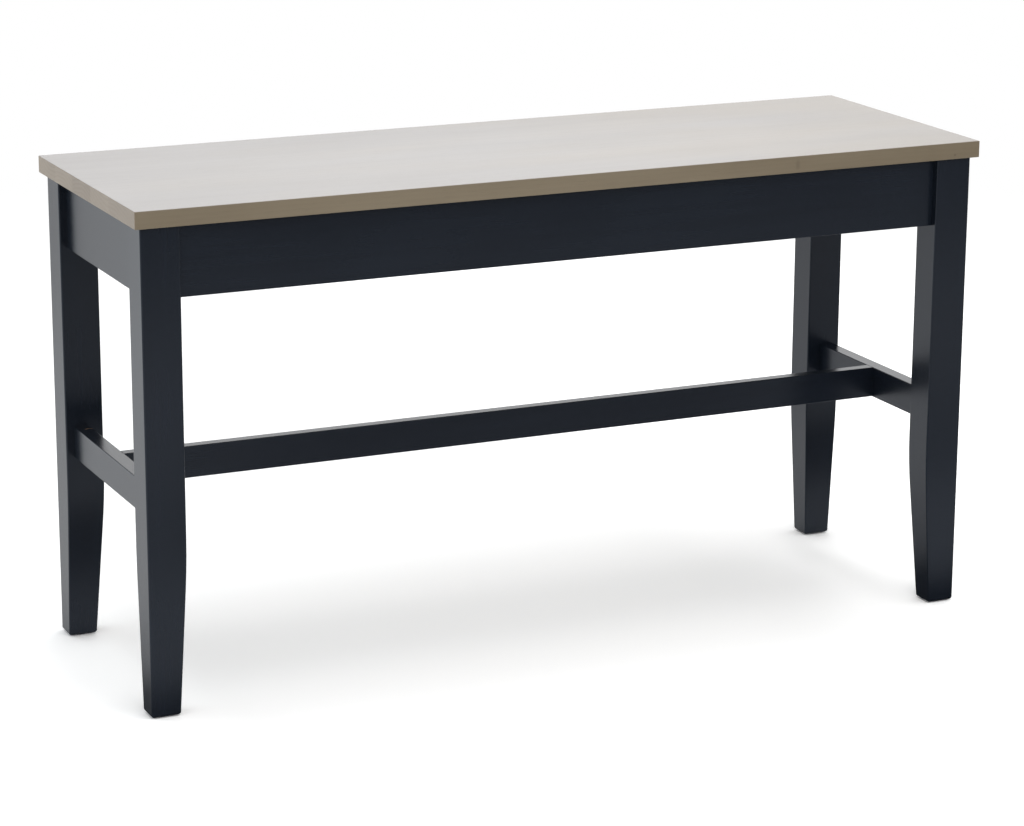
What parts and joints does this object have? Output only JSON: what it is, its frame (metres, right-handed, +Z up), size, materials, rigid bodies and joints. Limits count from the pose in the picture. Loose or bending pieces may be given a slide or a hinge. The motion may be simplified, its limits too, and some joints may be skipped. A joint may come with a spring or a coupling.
{
  "type": "counter height bench",
  "caption": "Backless counter-height bench with a plain board seat, painted aprons, tapered legs and an H-shaped stretcher.",
  "frame": {"origin": "on the floor under the middle of the seat", "axes": "+X along the seat's length to the right as seen from the front, +Y towards the back, +Z up"},
  "size_m": [1.1176, 0.373, 0.6112],
  "materials": {
    "seat_wood": "grey-brown washed stain under a satin clear coat",
    "frame_paint": "satin dark navy-charcoal paint on wood",
    "raw_wood": "sanded, unpainted",
    "zinc_steel": "bright zinc plate",
    "glide_plastic": "matt moulded plastic"
  },
  "bodies": {
    "root": {"seat_board_1": "seat_wood", "seat_board_2": "seat_wood", "seat_board_3": "seat_wood", "seat_board_4": "seat_wood", "seat_board_5": "seat_wood", "leg_front_left": "frame_paint", "leg_front_right": "frame_paint", "leg_back_left": "frame_paint", "leg_back_right": "frame_paint", "apron_front": "frame_paint", "apron_back": "frame_paint", "apron_left": "frame_paint", "apron_right": "frame_paint", "stretcher_left": "frame_paint", "stretcher_right": "frame_paint", "stretcher_centre": "frame_paint", "corner_block_front_left": "raw_wood", "corner_block_front_right": "raw_wood", "corner_block_back_left": "raw_wood", "corner_block_back_right": "raw_wood", "seat_bearer_left": "raw_wood", "seat_bearer_right": "raw_wood", "apron_dowels": "raw_wood", "stretcher_dowels": "raw_wood", "bearer_dowels": "raw_wood", "hanger_bolts": "zinc_steel", "bolt_washers": "zinc_steel", "bolt_nuts": "zinc_steel", "block_screws": "zinc_steel", "seat_screws": "zinc_steel", "glide_front_left": "glide_plastic", "glide_front_right": "glide_plastic", "glide_back_left": "glide_plastic", "glide_back_right": "glide_plastic"}
  },
  "joints": []
}
